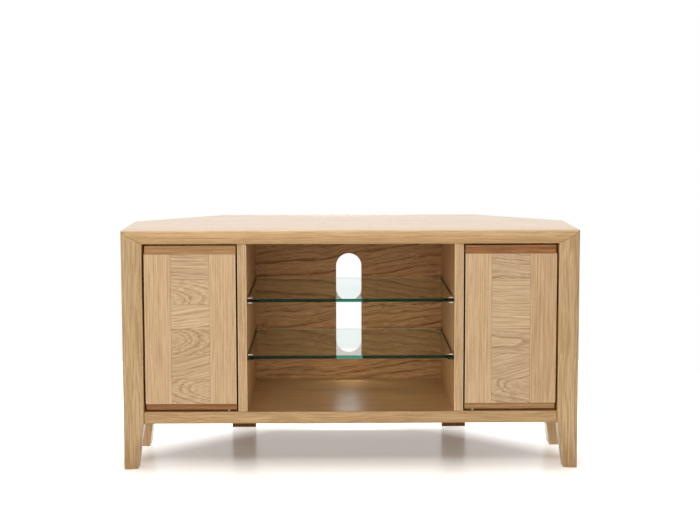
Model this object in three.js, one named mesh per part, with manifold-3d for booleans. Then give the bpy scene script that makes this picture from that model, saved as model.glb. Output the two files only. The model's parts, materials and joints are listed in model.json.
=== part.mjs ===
// A corner television cabinet in oak: a mitred front frame on tapered legs, two cupboards with
// inset doors, and an open bay between them with two glass shelves and a cable slot.
// Millimetres, +Z up. The origin is the middle of the footprint, on the floor. The front faces -Y.
// Inside the cabinet's own group a depth is counted backwards from the foremost face.
import * as THREE from "three";
import { mergeVertices } from "three/addons/utils/BufferGeometryUtils.js";
import Module from "manifold-3d";

const wasm = await Module();
wasm.setup();

// Overall size and plan
const overallWidth = 1100;
const overallDepth = 495;
const overallHeight = 580;
const cornerCut = 210; // run of the 45 degree cut along each side, and along the back

// Clearances
const jointGap = 0.3; // a glue line or a seat between two pieces
const overrun = 5; // how far a cutting shape runs past what it cuts

// Front frame: two posts that run down into legs, and a rail mitred between them
const postWidth = 48;
const postDepth = 45;
const railHeight = 33;
const frameArris = 3; // rounding of the outer front edge
const frameFlat = 12; // flat band inside that edge, before the face falls away
const frameFall = 11; // how far back the inner edge of the face lies
const bevelStraightShare = 0.6; // how much of the fall is straight, the rest growing with the square
const bevelSteps = 6;
const arrisSteps = 3;
const mitreGap = 0.6; // measured along the rail

// Legs and base
const baseUnderside = 108;
const baseThickness = 29;
const footWidth = 33;
const carcassSetback = 17; // front of the base, dividers and doors behind the frame's foremost face

// Top, sides and back
const topThickness = 25;
const panelThickness = 18;
const panelInset = 3; // side and angled panels lie this far inside the outline of the top
const sidePostFace = 35; // the straight outer face of the side post, measured along the depth
const sidePostReturn = 16; // run of its square end, which takes the angled panel
const backThickness = 12;
const rearLegThickness = 17;
const rearLegWidth = 64;
const rearLegInset = 22; // outer edge of each rear leg inside the corner of the back

// Cable slot in the back
const slotWidth = 68;
const slotAboveBase = 65;
const slotBelowTop = 77;
const slotSteps = 24;

// Glass shelves and their clips
const glassThickness = 8;
const upperShelfShare = 0.6615; // height of the glass in the bay, from the base to the top panel
const lowerShelfShare = 0.33;
const glassSetback = 1; // front edge of the glass behind the front of the base
const glassBackGap = 15.7;
const glassCorner = 5;
const glassCornerSteps = 4;
const clipPlate = 1.8;
const clipReach = 15;
const clipJaw = 3;
const clipWidth = 18;
const clipSetback = 2; // front clips behind the glass's front edge, rear ones before its back edge

// Doors, and the dividers that part them from the middle bay
const dividerThickness = 22;
const doorWidth = 221;
const doorSideGap = 4;
const doorTopGap = 5;
const doorBottomGap = 3;
const doorCoreThickness = 10;
const doorFaceThickness = 14;
const topGripHeight = 20; // the core shows above the face as a finger grip
const bottomGripHeight = 17;
const stileWidth = 64;
const blockCount = 6;

// Butt hinges
const hingeLength = 60;
const hingeFromFaceEnd = 55; // from the end of the door's face to the nearer end of a hinge
const hingeAxisDepth = 1; // axis behind the door's face
const knuckleRadius = 1.7;
const knuckleBore = 1.1;
const knuckleCount = 5;
const knuckleSteps = 16;
const pinRadius = 0.9;
const pinHeadHeight = 1;
const leafThickness = 1.2;
const leafDepth = 20;
const leafWebStart = 0.2; // the web joins knuckle and leaf between these depths behind the axis
const leafWebEnd = 1.4;

// Magnetic catches
const catchInset = 20; // from the free edge of the door
const magnetRadius = 3;
const magnetLength = 11;
const magnetDrop = 1.3; // how far the magnet stands out below the door
const strikeRadius = 3;
const strikeShankRadius = 1.6;
const strikeShankLength = 12;
const catchSteps = 20;

// Places that follow from those sizes
const halfWidth = overallWidth / 2;
const backHalfWidth = halfWidth - cornerCut;
const sideDepth = overallDepth - cornerCut;
const postInner = halfWidth - postWidth;
const baseTop = baseUnderside + baseThickness;
const topUnderside = overallHeight - topThickness;
const railBottom = overallHeight - railHeight;
const rearLegFront = overallDepth - rearLegThickness;
const backFront = rearLegFront - jointGap - backThickness;
const rearLegOuter = backHalfWidth - rearLegInset;
const sidePostFront = sideDepth - sidePostFace;
const panelInner = halfWidth - panelInset - panelThickness;
const doorOuter = postInner - doorSideGap;
const doorInner = doorOuter - doorWidth;
const bayHalfWidth = doorInner - doorSideGap - dividerThickness;
const doorBottom = baseTop + doorBottomGap;
const doorTop = railBottom - doorTopGap;
const doorFaceBottom = doorBottom + bottomGripHeight;
const doorFaceTop = doorTop - topGripHeight;
const doorFaceBack = carcassSetback + doorFaceThickness;
const doorCoreFront = doorFaceBack + jointGap;
const doorBack = doorCoreFront + doorCoreThickness;
const hingeAxisX = postInner - doorSideGap / 2;
const hingeAxisY = carcassSetback + hingeAxisDepth;
const bayHeight = topUnderside - baseTop;
const slotTop = topUnderside - slotBelowTop;
const slotBottom = baseTop + slotAboveBase;
const upperGlassTop = baseTop + upperShelfShare * bayHeight;
const lowerGlassTop = baseTop + lowerShelfShare * bayHeight;
const glassFront = carcassSetback + glassSetback;
const glassBack = backFront - glassBackGap;
const glassHalfWidth = bayHalfWidth - clipPlate - 2 * jointGap;

// Finishes
function finish(colour, roughness, metalness) {
  return new THREE.MeshStandardMaterial({ color: colour, roughness, metalness });
}
const oak = finish(0xc9a273, 0.5, 0);
const oakVeneer = finish(0xd0ab7d, 0.48, 0);
const shadedOak = finish(0x9a7248, 0.55, 0);
const greenGlass = finish(0x5f8f80, 0.05, 0);
greenGlass.transparent = true;
greenGlass.opacity = 0.4;
const satinNickel = finish(0xb9b8b2, 0.35, 1);
const darkBronze = finish(0x3a2f26, 0.45, 1);
const steel = finish(0xc6c8ca, 0.25, 1);

// Extrudes an outline of [x, y] pairs from z = 0 to the given height.
function extruded(outline, height) {
  const shape = new THREE.Shape(outline.map(([x, y]) => new THREE.Vector2(x, y)));
  return new THREE.ExtrudeGeometry(shape, { depth: height, bevelEnabled: false });
}

// A plan outline of [x, depth] pairs, raised from one height to another.
function plan(outline, bottom, top) {
  return extruded(outline, top - bottom).translate(0, 0, bottom);
}

// A front outline of [x, height] pairs, carried from one depth to another.
function frontal(outline, near, far) {
  return extruded(outline, far - near).rotateX(Math.PI / 2).translate(0, far, 0);
}

// A side outline of [depth, height] pairs, carried from one x to another.
function profile(outline, left, right) {
  return extruded(outline, right - left)
    .rotateX(Math.PI / 2)
    .rotateZ(Math.PI / 2)
    .translate(left, 0, 0);
}

function box(left, right, near, far, bottom, top) {
  const [west, east] = [Math.min(left, right), Math.max(left, right)];
  return new THREE.BoxGeometry(east - west, far - near, top - bottom).translate(
    (west + east) / 2,
    (near + far) / 2,
    (bottom + top) / 2,
  );
}

function upright(radius, x, y, bottom, top, steps) {
  return new THREE.CylinderGeometry(radius, radius, top - bottom, steps)
    .rotateX(Math.PI / 2)
    .translate(x, y, (bottom + top) / 2);
}

// Turns closed geometry into a solid that can be joined and cut.
function solid(geometry) {
  const bare = geometry.clone();
  bare.deleteAttribute("normal");
  bare.deleteAttribute("uv");
  const merged = mergeVertices(bare);
  return new wasm.Manifold(
    new wasm.Mesh({
      numProp: 3,
      vertProperties: merged.attributes.position.array,
      triVerts: new Uint32Array(merged.index.array),
    }),
  );
}

function surface(body) {
  const mesh = body.getMesh();
  const geometry = new THREE.BufferGeometry();
  geometry.setAttribute("position", new THREE.BufferAttribute(mesh.vertProperties, 3));
  geometry.setIndex(new THREE.BufferAttribute(mesh.triVerts, 1));
  geometry.computeVertexNormals();
  return geometry;
}

function common(first, second) {
  return surface(solid(first).intersect(solid(second)));
}

function cut(geometry, ...cutters) {
  return surface(cutters.reduce((body, cutter) => body.subtract(solid(cutter)), solid(geometry)));
}

function joined(...geometries) {
  return surface(geometries.map(solid).reduce((body, other) => body.add(other)));
}

const cabinet = new THREE.Group();
const fromFront = new THREE.Group();
fromFront.position.y = -overallDepth / 2;
cabinet.add(fromFront);

function piece(name, geometry, material) {
  const mesh = new THREE.Mesh(geometry, material);
  mesh.name = name;
  fromFront.add(mesh);
}

const sides = [
  { name: "left", sign: -1 },
  { name: "right", sign: 1 },
];

// The face of the frame as [distance from the outer edge, depth] pairs, for a member so wide.
// It is rounded at the outer edge, flat in a narrow band, then falls back to the inner edge.
function frameFace(width) {
  const points = [];
  for (let i = 0; i <= arrisSteps; i++) {
    const turn = ((i / arrisSteps) * Math.PI) / 2;
    points.push([frameArris * (1 - Math.cos(turn)), frameArris * (1 - Math.sin(turn))]);
  }
  for (let i = 0; i <= bevelSteps; i++) {
    const s = i / bevelSteps;
    const fallShare = bevelStraightShare * s + (1 - bevelStraightShare) * s * s;
    points.push([frameFlat + s * (width - frameFlat), fallShare * frameFall]);
  }
  return points;
}

// The line of the mitre on the front, from the outer top corner to the inner one, for one side.
function mitreLine(sign, shift) {
  return [
    [sign * (halfWidth - shift), overallHeight],
    [sign * (halfWidth - frameFlat - shift), overallHeight - frameFlat],
    [sign * (postInner - shift), railBottom],
  ];
}

function addFrontPost({ name, sign }, hingePockets) {
  const section = frameFace(postWidth).map(([u, depth]) => [sign * (halfWidth - u), depth]);
  section.push([sign * postInner, postDepth], [sign * halfWidth, postDepth]);
  const outline = [
    ...mitreLine(sign, 0),
    [sign * postInner, baseUnderside],
    [sign * (halfWidth - footWidth), 0],
    [sign * halfWidth, 0],
  ];
  const body = common(plan(section, 0, overallHeight), frontal(outline, 0, postDepth));
  piece(name + "_front_post", cut(body, ...hingePockets), oak);
}

function addTopRail() {
  const section = frameFace(railHeight).map(([v, depth]) => [depth, overallHeight - v]);
  section.push([postDepth, railBottom], [postDepth, overallHeight]);
  const outline = [...mitreLine(-1, mitreGap), ...mitreLine(1, mitreGap).reverse()];
  const body = common(
    profile(section, -halfWidth, halfWidth),
    frontal(outline, 0, postDepth),
  );
  piece("top_front_rail", body, oak);
}

// A line parallel to the 45 degree cut, so far inside it: the x on it at a given depth.
function angledX(depth, inside) {
  return halfWidth + sideDepth - inside * Math.SQRT2 - depth;
}

// Corners of the square end of the side post, outer then inner.
const postEndOuter = [
  postInner + sidePostReturn,
  sideDepth + postWidth - sidePostReturn,
];
const postEndInner = [postInner, postEndOuter[1] - sidePostReturn];

function addSidePost({ name, sign }) {
  const section = [
    [halfWidth, sidePostFront],
    [postInner, sidePostFront],
    postEndInner,
    postEndOuter,
    [halfWidth, sideDepth],
  ].map(([x, depth]) => [sign * x, depth]);
  const top = topUnderside - jointGap;
  const outline = [
    [sign * halfWidth, top],
    [sign * postInner, top],
    [sign * postInner, baseUnderside],
    [sign * (halfWidth - footWidth), 0],
    [sign * halfWidth, 0],
  ];
  const body = common(
    plan(section, 0, top),
    frontal(outline, sidePostFront, postEndOuter[1]),
  );
  piece(name + "_side_post", body, oak);
}

function addSidePanel({ name, sign }) {
  const body = box(
    sign * panelInner,
    sign * (halfWidth - panelInset),
    postDepth + jointGap,
    sidePostFront - jointGap,
    baseUnderside,
    topUnderside - jointGap,
  );
  piece(name + "_side_panel", body, oakVeneer);
}

// The panel of the 45 degree side, from the side post's square end to the back panel.
function addAngledPanel({ name, sign }) {
  const outer = panelInset;
  const inner = panelInset + panelThickness;
  const endSum = postEndOuter[1] - postEndOuter[0] + jointGap * Math.SQRT2; // depth - x at the post
  const startX = (inside) => (angledX(0, inside) - endSum) / 2;
  const far = backFront - jointGap;
  const outline = [
    [startX(outer), startX(outer) + endSum],
    [startX(inner), startX(inner) + endSum],
    [angledX(far, inner), far],
    [angledX(far, outer), far],
  ].map(([x, depth]) => [sign * x, depth]);
  piece(name + "_angled_panel", plan(outline, baseUnderside, topUnderside - jointGap), oakVeneer);
}

function addRearLeg({ name, sign }) {
  const body = box(
    sign * (rearLegOuter - rearLegWidth),
    sign * rearLegOuter,
    rearLegFront,
    overallDepth,
    0,
    topUnderside - jointGap,
  );
  piece(name + "_rear_leg", body, shadedOak);
}

function addTopPanel() {
  const half = [
    [halfWidth, postDepth + jointGap],
    [halfWidth, sideDepth],
    [backHalfWidth, overallDepth],
  ];
  const outline = [...half, ...half.map(([x, depth]) => [-x, depth]).reverse()];
  piece("top_panel", plan(outline, topUnderside, overallHeight), oakVeneer);
}

function slotOutline() {
  const radius = slotWidth / 2;
  const points = [];
  for (let i = 0; i <= slotSteps; i++) {
    const turn = (i / slotSteps) * Math.PI;
    points.push([radius * Math.cos(turn), slotTop - radius + radius * Math.sin(turn)]);
  }
  const lower = points.map(([x, z]) => [-x, slotTop + slotBottom - z]);
  return [...points, ...lower];
}

function addBackPanel() {
  const near = backFront;
  const far = rearLegFront - jointGap;
  const half = [
    [angledX(near, panelInset), near],
    [angledX(far, panelInset), far],
  ];
  const outline = [...half, ...half.map(([x, depth]) => [-x, depth]).reverse()];
  const board = plan(outline, baseUnderside, topUnderside - jointGap);
  const slot = frontal(slotOutline(), near - overrun, far + overrun);
  piece("back_panel", cut(board, slot), shadedOak);
}

function addBasePanel(strikeHoles) {
  const near = carcassSetback;
  const behindPost = postDepth + jointGap;
  const beforeSidePost = sidePostFront - jointGap;
  const beside = postInner - jointGap;
  const inner = panelInset + panelThickness + jointGap;
  const far = backFront - jointGap;
  const half = [
    [beside, near],
    [beside, behindPost],
    [panelInner - jointGap, behindPost],
    [panelInner - jointGap, beforeSidePost],
    [beside, beforeSidePost],
    [beside, angledX(beside, inner)],
    [angledX(far, inner), far],
  ];
  const outline = [...half, ...half.map(([x, depth]) => [-x, depth]).reverse()];
  const board = plan(outline, baseUnderside, baseTop);
  piece("base_panel", cut(board, ...strikeHoles), oakVeneer);
}

// A divider is notched at its upper front corner to pass under the rail.
function addDivider({ name, sign }) {
  const top = topUnderside - jointGap;
  const notch = railBottom - jointGap;
  const far = backFront - jointGap;
  const bottom = baseTop + jointGap;
  const outline = [
    [carcassSetback, bottom],
    [far, bottom],
    [far, top],
    [postDepth + jointGap, top],
    [postDepth + jointGap, notch],
    [carcassSetback, notch],
  ];
  const faces = [sign * bayHalfWidth, sign * (bayHalfWidth + dividerThickness)];
  piece(name + "_divider", profile(outline, Math.min(...faces), Math.max(...faces)), oakVeneer);
}

function glassOutline() {
  const corner = [];
  for (let i = 0; i <= glassCornerSteps; i++) {
    const turn = ((i / glassCornerSteps) * Math.PI) / 2;
    corner.push([
      glassHalfWidth - glassCorner * (1 - Math.sin(turn)),
      glassFront + glassCorner * (1 - Math.cos(turn)),
    ]);
  }
  const half = [...corner, [glassHalfWidth, glassBack]];
  return [...half, ...half.map(([x, depth]) => [-x, depth]).reverse()];
}

// One clip holds one corner of a shelf between an upper and a lower jaw.
function clip(sign, front, glassTop) {
  const wall = bayHalfWidth - jointGap;
  const plateFace = wall - clipPlate;
  const tip = wall - clipReach;
  const glassUnder = glassTop - glassThickness;
  const outline = [
    [wall, glassUnder - jointGap - clipJaw],
    [tip, glassUnder - jointGap - clipJaw],
    [tip, glassUnder - jointGap],
    [plateFace, glassUnder - jointGap],
    [plateFace, glassTop + jointGap],
    [tip, glassTop + jointGap],
    [tip, glassTop + jointGap + clipJaw],
    [wall, glassTop + jointGap + clipJaw],
  ].map(([x, z]) => [sign * x, z]);
  return frontal(outline, front, front + clipWidth);
}

function addShelf(level, glassTop) {
  piece(level + "_glass_shelf", plan(glassOutline(), glassTop - glassThickness, glassTop), greenGlass);
  const ends = {
    front: glassFront + clipSetback,
    rear: glassBack - clipSetback - clipWidth,
  };
  for (const { name, sign } of sides) {
    for (const [end, front] of Object.entries(ends)) {
      piece([level, name, end, "clip"].join("_"), clip(sign, front, glassTop), satinNickel);
    }
  }
}

// Where each hinge's lower end lies on the door.
const hingeBottoms = {
  upper: doorFaceTop - hingeFromFaceEnd - hingeLength,
  lower: doorFaceBottom + hingeFromFaceEnd,
};

// The plate of a leaf, let into the post for a frame leaf and into the door's edge for a door leaf.
// With some slack all round, and standing proud of its seat, it is the cutter of its own pocket.
function leafPlate(sign, onFrame, bottom, slack, proud) {
  const seat = onFrame ? postInner : doorOuter;
  const outward = onFrame ? 1 : -1;
  return box(
    sign * (seat - outward * proud),
    sign * (seat + outward * (leafThickness + slack)),
    hingeAxisY + leafWebStart - slack,
    hingeAxisY + leafDepth + slack,
    bottom - slack,
    bottom + hingeLength + slack,
  );
}

// A leaf with its share of the knuckles: the frame leaf has the first, third and fifth.
function hingeLeaf(sign, onFrame, bottom) {
  const seat = onFrame ? postInner : doorOuter;
  const outward = onFrame ? 1 : -1;
  const pitch = hingeLength / knuckleCount;
  const parts = [leafPlate(sign, onFrame, bottom, 0, 0)];
  for (let i = onFrame ? 0 : 1; i < knuckleCount; i += 2) {
    const low = bottom + i * pitch + jointGap / 2;
    const high = bottom + (i + 1) * pitch - jointGap / 2;
    parts.push(upright(knuckleRadius, sign * hingeAxisX, hingeAxisY, low, high, knuckleSteps));
    parts.push(
      box(
        sign * hingeAxisX,
        sign * (seat + (outward * leafThickness) / 2),
        hingeAxisY + leafWebStart,
        hingeAxisY + leafWebEnd,
        low,
        high,
      ),
    );
  }
  const bore = upright(
    knuckleBore,
    sign * hingeAxisX,
    hingeAxisY,
    bottom - overrun,
    bottom + hingeLength + overrun,
    knuckleSteps,
  );
  return cut(joined(...parts), bore);
}

function hingePin(sign, bottom) {
  const top = bottom + hingeLength;
  const x = sign * hingeAxisX;
  const y = hingeAxisY;
  const lowHead = bottom - pinHeadHeight;
  const highHead = top + pinHeadHeight;
  return joined(
    upright(pinRadius, x, y, lowHead, highHead, knuckleSteps),
    upright(knuckleRadius, x, y, lowHead, bottom, knuckleSteps),
    upright(knuckleRadius, x, y, top, highHead, knuckleSteps),
  );
}

function leafPockets(sign, onFrame) {
  return Object.values(hingeBottoms).map((bottom) =>
    leafPlate(sign, onFrame, bottom, jointGap, overrun),
  );
}

function addHinges({ name, sign }) {
  for (const [level, bottom] of Object.entries(hingeBottoms)) {
    const stem = [name, level, "hinge"].join("_");
    piece(stem + "_frame_leaf", hingeLeaf(sign, true, bottom), darkBronze);
    piece(stem + "_door_leaf", hingeLeaf(sign, false, bottom), darkBronze);
    piece(stem + "_pin", hingePin(sign, bottom), darkBronze);
  }
}

// The catch stands in the middle of the core's thickness, near the free edge of the door.
const catchX = doorInner + catchInset;
const catchY = doorCoreFront + doorCoreThickness / 2;
const magnetBottom = doorBottom - magnetDrop;

function strikeHole({ sign }) {
  const radius = strikeShankRadius + jointGap;
  const bottom = baseTop - strikeShankLength - jointGap;
  return upright(radius, sign * catchX, catchY, bottom, baseTop + overrun, catchSteps);
}

function addCatch({ name, sign }) {
  const x = sign * catchX;
  const magnetTop = magnetBottom + magnetLength;
  const strikeTop = magnetBottom - jointGap;
  const shankBottom = baseTop - strikeShankLength;
  const magnet = upright(magnetRadius, x, catchY, magnetBottom, magnetTop, catchSteps);
  const strike = joined(
    upright(strikeRadius, x, catchY, baseTop + jointGap, strikeTop, catchSteps),
    upright(strikeShankRadius, x, catchY, shankBottom, strikeTop, catchSteps),
  );
  piece(name + "_door_magnet", magnet, steel);
  piece(name + "_catch_strike", strike, steel);
}

function addDoor({ name, sign }) {
  const pockets = leafPockets(sign, false);
  const magnetHole = upright(
    magnetRadius + jointGap,
    sign * catchX,
    catchY,
    doorBottom - overrun,
    magnetBottom + magnetLength + jointGap,
    catchSteps,
  );
  const core = box(
    sign * doorInner,
    sign * doorOuter,
    doorCoreFront,
    doorBack,
    doorBottom,
    doorTop,
  );
  piece(name + "_door_core", cut(core, magnetHole, ...pockets), oakVeneer);

  const facePiece = (from, to, bottom, top) =>
    box(sign * from, sign * to, carcassSetback, doorFaceBack, bottom, top);
  const outerStile = facePiece(doorOuter - stileWidth, doorOuter, doorFaceBottom, doorFaceTop);
  const innerStile = facePiece(doorInner, doorInner + stileWidth, doorFaceBottom, doorFaceTop);
  piece(name + "_door_outer_stile", cut(outerStile, ...pockets), oak);
  piece(name + "_door_inner_stile", innerStile, oak);

  const blockFrom = doorInner + stileWidth + jointGap;
  const blockTo = doorOuter - stileWidth - jointGap;
  const pitch = (doorFaceTop - doorFaceBottom + jointGap) / blockCount;
  for (let i = 0; i < blockCount; i++) {
    const bottom = doorFaceBottom + i * pitch;
    const block = facePiece(blockFrom, blockTo, bottom, bottom + pitch - jointGap);
    piece(name + "_door_block_" + (i + 1), block, oak);
  }
}

addTopPanel();
addTopRail();
addBasePanel(sides.map(strikeHole));
addBackPanel();
for (const side of sides) {
  addFrontPost(side, leafPockets(side.sign, true));
  addSidePost(side);
  addSidePanel(side);
  addAngledPanel(side);
  addRearLeg(side);
  addDivider(side);
  addHinges(side);
  addDoor(side);
  addCatch(side);
}
addShelf("upper", upperGlassTop);
addShelf("lower", lowerGlassTop);

export default cabinet;
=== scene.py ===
# A corner television cabinet in lacquered oak: a mitred frame on tapered legs, two doors faced
# with stiles and a column of blocks, and an open bay with two glass shelves and a cable slot.
import json
import math
from contextlib import contextmanager
from functools import partial

import bmesh
import bpy
from mathutils import Euler, Matrix, Vector


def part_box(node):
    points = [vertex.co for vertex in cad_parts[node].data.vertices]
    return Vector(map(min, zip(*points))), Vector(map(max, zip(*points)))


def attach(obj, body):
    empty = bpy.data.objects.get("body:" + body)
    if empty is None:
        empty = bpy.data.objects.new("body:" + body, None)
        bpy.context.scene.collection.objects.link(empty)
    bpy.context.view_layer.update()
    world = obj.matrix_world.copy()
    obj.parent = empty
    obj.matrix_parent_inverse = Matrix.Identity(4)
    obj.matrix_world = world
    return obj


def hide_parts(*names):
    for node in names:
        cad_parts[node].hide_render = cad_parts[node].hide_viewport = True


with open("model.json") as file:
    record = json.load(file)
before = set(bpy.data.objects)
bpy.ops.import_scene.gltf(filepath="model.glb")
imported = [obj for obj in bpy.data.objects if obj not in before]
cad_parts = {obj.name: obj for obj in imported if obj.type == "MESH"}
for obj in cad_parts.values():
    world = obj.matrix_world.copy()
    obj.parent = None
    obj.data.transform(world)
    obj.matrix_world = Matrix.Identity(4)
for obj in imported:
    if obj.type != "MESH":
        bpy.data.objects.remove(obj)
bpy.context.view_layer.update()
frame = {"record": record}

MM = 0.001
TINY = 0.02 * MM  # apart, and two places still count as one
OVERRUN = 5 * MM  # of a cutter past what it cuts

# Camera, fitted to the photograph
PHOTO_WIDTH = 700
FOCAL_PIXELS = 1551.3
SENSOR_MM = 36
CAMERA_PLACE = Vector((-42.3, -3941.2, 903.1)) * MM
CAMERA_YAW = 0.011
CAMERA_PITCH = 0.1078
CAMERA_ROLL = -0.0017

# Joinery, the same real sizes that the solids have
FRAME_ARRIS = 3 * MM
FRAME_FLAT = 12 * MM
FRAME_FALL = 11 * MM
FALL_STRAIGHT_SHARE = 0.6
FALL_STEPS = 6
ARRIS_STEPS = 4
FOOT_WIDTH = 33 * MM
LEG_LENGTH = 108 * MM
CORNER_CUT = 210 * MM
PANEL_INSET = 3 * MM
PANEL_THICKNESS = 18 * MM
SIDE_POST_RETURN = 16 * MM
JOINT_GAP = 0.3 * MM
CLIP_PLATE = 1.8 * MM
CLIP_JAW = 3 * MM
GLASS_CORNER = 5 * MM
KNUCKLE_COUNT = 5
KNUCKLE_RADIUS = 1.7 * MM
LEAF_THICKNESS = 1.2 * MM
LEAF_DEPTH = 20 * MM
BLOCK_COUNT = 6
SLOT_MARGIN = 4 * MM
SLOT_HEIGHT = 276 * MM
PIN_HEAD = 1 * MM
PIN_RADIUS = 0.9 * MM
STRIKE_SHANK_RADIUS = 1.6 * MM
LEAF_SCREW_RADIUS = 2.6 * MM
BACK_SCREW_RADIUS = 4 * MM
BACK_SCREW_EDGE = 9 * MM
SCREW_RISE = 0.3 * MM

# A screw's head, in shares of its radius
SCREW_SINK = 0.25
RECESS_LENGTH = 1.3
RECESS_WIDTH = 0.24
RECESS_DEPTH = 0.2

# Places of screws, in shares of the height, width or depth that they stand in
LEAF_SCREW_HEIGHTS = (0.17, 0.5, 0.83)
LEAF_SCREW_DEPTHS = (0.6, 0.35, 0.6)
BACK_SCREW_ACROSS = (-0.9, -0.55, -0.18, 0.18, 0.55, 0.9)
BACK_SCREW_HEIGHTS = (0.3, 0.5, 0.7)
LEG_SCREW_HEIGHTS = (0.24, 0.5, 0.76, 0.96)

# Facets of round forms
ROD_STEPS = 24
SCREW_STEPS = 20
CATCH_STEPS = 32
BASE_ROUNDING_STEPS = 4
DOOR_ARRIS_STEPS = 3
GLASS_CORNER_STEPS = 5
CLIP_TIP_STEPS = 6
SLOT_END_STEPS = 14
EASED_ANGLE = math.radians(31)
SMOOTHED_ANGLE = math.radians(32)

# Softening that only the finished pieces show
SANDED_ARRIS = 0.8 * MM
GLUED_ARRIS = 0.1 * MM
BLOCK_ARRIS = 0.5 * MM
DOOR_ARRIS = 1.2 * MM
BASE_ROUNDING = 2.5 * MM
POLISHED_ARRIS = 0.35 * MM
GROUND_EDGE = 2 * MM
METAL_ARRIS = 0.3 * MM
CLIP_TIP = 5 * MM
SCREW_ARRIS_SHARE = 0.8  # of the screw's rise

FOOT_PAINTED_SHADE = 0.3  # how much painted shade darkens a front leg at the floor

# How much of a face's normal points one way: on a broad face alone, on a broad face with the
# nearest facet of its arris, and on a face that turns aside into a gap
BROAD = 0.95
BROAD_AND_FACET = 0.9
TURNED_ASIDE = 0.8
# And the share by which a face is told from its neighbours
OFF_FRONT = 0.15
OFF_SIDE = 0.1
OFF_BACK = 0.5
EDGE_ON = 0.3
STEEP_FALL = 0.38
OFF_UNDERSIDE = 0.2

FORWARD = Vector((0, -1, 0))
BACKWARD = Vector((0, 1, 0))
UP = Vector((0, 0, 1))

SIDES = {"left": -1, "right": 1}
LEVELS = ("upper", "lower")

top_low, top_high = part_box("top_panel")
rail_low, rail_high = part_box("top_front_rail")
base_low, base_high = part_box("base_panel")
back_low, back_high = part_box("back_panel")
post_low, post_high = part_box("right_front_post")
pin_low, pin_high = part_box("right_upper_hinge_pin")
hinge_axis = (pin_low + pin_high) / 2
FRONT = rail_low.y
HALF_WIDTH = top_high.x
CUT_NORMAL = Vector((1, 1, 0)).normalized()
CUT_CORNER = Vector((HALF_WIDTH, top_high.y - CORNER_CUT, 0))


def only(piece):
    """Makes a piece the one selected and active object."""
    bpy.ops.object.select_all(action="DESELECT")
    piece.select_set(True)
    bpy.context.view_layer.objects.active = piece


def settle(piece, name):
    """Names a new primitive and moves its place and size into its mesh."""
    piece.name = name
    bpy.ops.object.transform_apply(location=True, rotation=True, scale=True)
    return piece


def board(name, low, high):
    """A squared board between two corners."""
    bpy.ops.object.select_all(action="DESELECT")
    low = Vector(low)
    high = Vector(high)
    bpy.ops.mesh.primitive_cube_add(size=1, location=(low + high) / 2)
    bpy.context.object.scale = high - low
    return settle(bpy.context.object, name)


def rod(name, radius, axis, low, high, steps=ROD_STEPS):
    """A round upright bar round an axis, from one height to another."""
    bpy.ops.object.select_all(action="DESELECT")
    foot = Vector((axis[0], axis[1], low))
    head = Vector((axis[0], axis[1], high))
    bpy.ops.mesh.primitive_cylinder_add(
        vertices=steps, radius=radius, depth=(head - foot).length, location=(foot + head) / 2
    )
    return settle(bpy.context.object, name)


def choose(piece, kind, wanted):
    """In edit mode, selects just the vertices, edges or faces that pass a test."""
    bpy.ops.mesh.select_mode(type=kind)
    bpy.ops.mesh.select_all(action="DESELECT")
    shape = bmesh.from_edit_mesh(piece.data)
    parts = {"VERT": shape.verts, "EDGE": shape.edges, "FACE": shape.faces}[kind]
    for part in parts:
        if wanted(part):
            part.select_set(True)
    shape.select_flush_mode()
    bmesh.update_edit_mesh(piece.data)


@contextmanager
def editing(piece):
    """Opens a piece in edit mode for the work inside, and closes it again."""
    only(piece)
    bpy.ops.object.mode_set(mode="EDIT")
    yield
    bpy.ops.object.mode_set(mode="OBJECT")


def shift(piece, wanted, offset):
    """Moves the vertices whose place passes a test."""
    with editing(piece):
        choose(piece, "VERT", lambda vert: wanted(vert.co))
        bpy.ops.transform.translate(value=offset)


def saw(piece, point, normal, score=False):
    """Cuts a piece on a plane and takes off the normal's side, or only scores a line round it."""
    cut_off = not score
    with editing(piece):
        bpy.ops.mesh.select_all(action="SELECT")
        bpy.ops.mesh.bisect(plane_co=point, plane_no=normal, use_fill=cut_off, clear_outer=cut_off)


def round_over(piece, wanted, radius, steps):
    """Rounds the edges whose two ends pass a test."""
    with editing(piece):
        choose(piece, "EDGE", lambda edge: wanted(edge.verts[0].co, edge.verts[1].co))
        bpy.ops.mesh.bevel(offset=radius, segments=steps, affect="EDGES")


def apply_modifier(piece, kind, **settings):
    only(piece)
    modifier = piece.modifiers.new(kind, kind)
    for setting, value in settings.items():
        setattr(modifier, setting, value)
    bpy.ops.object.modifier_apply(modifier=modifier.name)


def carve(piece, *cutters):
    for cutter in cutters:
        apply_modifier(piece, "BOOLEAN", operation="DIFFERENCE", solver="EXACT", object=cutter)
        bpy.data.objects.remove(cutter)


def ease(piece, width, steps=2):
    """Takes every sharp edge off by a little, as sanding or polishing does."""
    apply_modifier(
        piece,
        "BEVEL",
        width=width,
        segments=steps,
        limit_method="ANGLE",
        angle_limit=EASED_ANGLE,
        use_clamp_overlap=False,
    )


def smooth(piece):
    """Shades narrow roundings softly and leaves broad faces flat."""
    only(piece)
    bpy.ops.object.shade_smooth_by_angle(angle=SMOOTHED_ANGLE)
    apply_modifier(piece, "WEIGHTED_NORMAL", keep_sharp=True, weight=100)


def joined(first, *others):
    only(first)
    for other in others:
        other.select_set(True)
    bpy.ops.object.join()
    return first


def copied(piece, offset=(0, 0, 0)):
    """A copy with its own mesh, moved by an offset."""
    only(piece)
    bpy.ops.object.duplicate()
    copy = bpy.context.object
    copy.data.transform(Matrix.Translation(offset))
    return copy


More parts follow.
